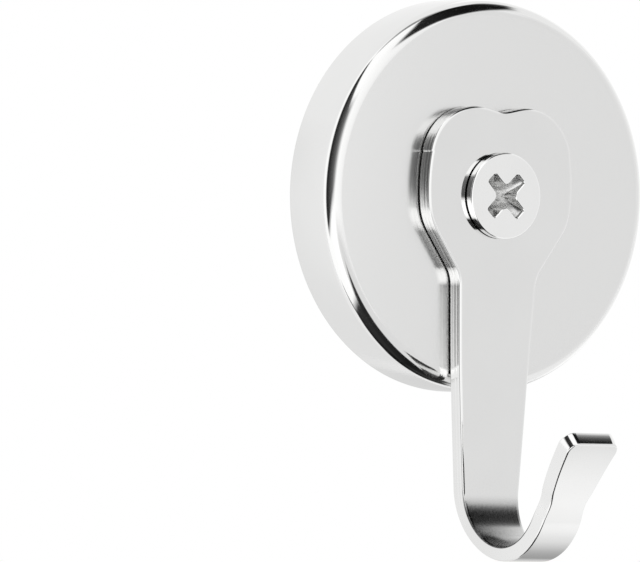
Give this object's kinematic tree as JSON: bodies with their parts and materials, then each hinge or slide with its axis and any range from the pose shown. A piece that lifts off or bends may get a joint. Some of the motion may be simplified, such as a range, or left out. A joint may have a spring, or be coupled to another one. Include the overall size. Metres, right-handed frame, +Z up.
{
  "type": "magnetic hook",
  "caption": "Round plated pot magnet with a bent steel strip hook that swivels on a cross-recessed screw at its centre, for hanging things on steel surfaces.",
  "frame": {"origin": "middle of the magnet's flat back face, where it sits on the wall", "axes": "+Y points into the wall, so the front faces -Y; +Z is up, and the hook hangs down along -Z; +X is to the right seen from the front"},
  "size_m": [0.036, 0.0234, 0.0513],
  "materials": {
    "plated_cup": "bright nickel plate on drawn steel",
    "plated_hook": "bright nickel plate on stamped steel strip",
    "plated_screw": "bright nickel plate on steel",
    "core_steel": "ground steel",
    "ferrite": "dull dark grey sintered ferrite",
    "resin": "black casting resin",
    "washer_plastic": "plain dark nylon"
  },
  "bodies": {
    "magnet_base": {"magnet_cup": "plated_cup", "pole_core": "core_steel", "ring_magnet": "ferrite", "outer_potting": "resin", "inner_potting": "resin", "glide_washer": "washer_plastic", "pivot_screw": "plated_screw"},
    "hook_strip": {"swivel_hook": "plated_hook"}
  },
  "joints": [
    {"name": "hook_swivel", "type": "hinge", "parent": "magnet_base", "child": "hook_strip", "pos_m": [0, -0.00725, 0], "axis": [0, 1, 0], "continuous": true}
  ]
}
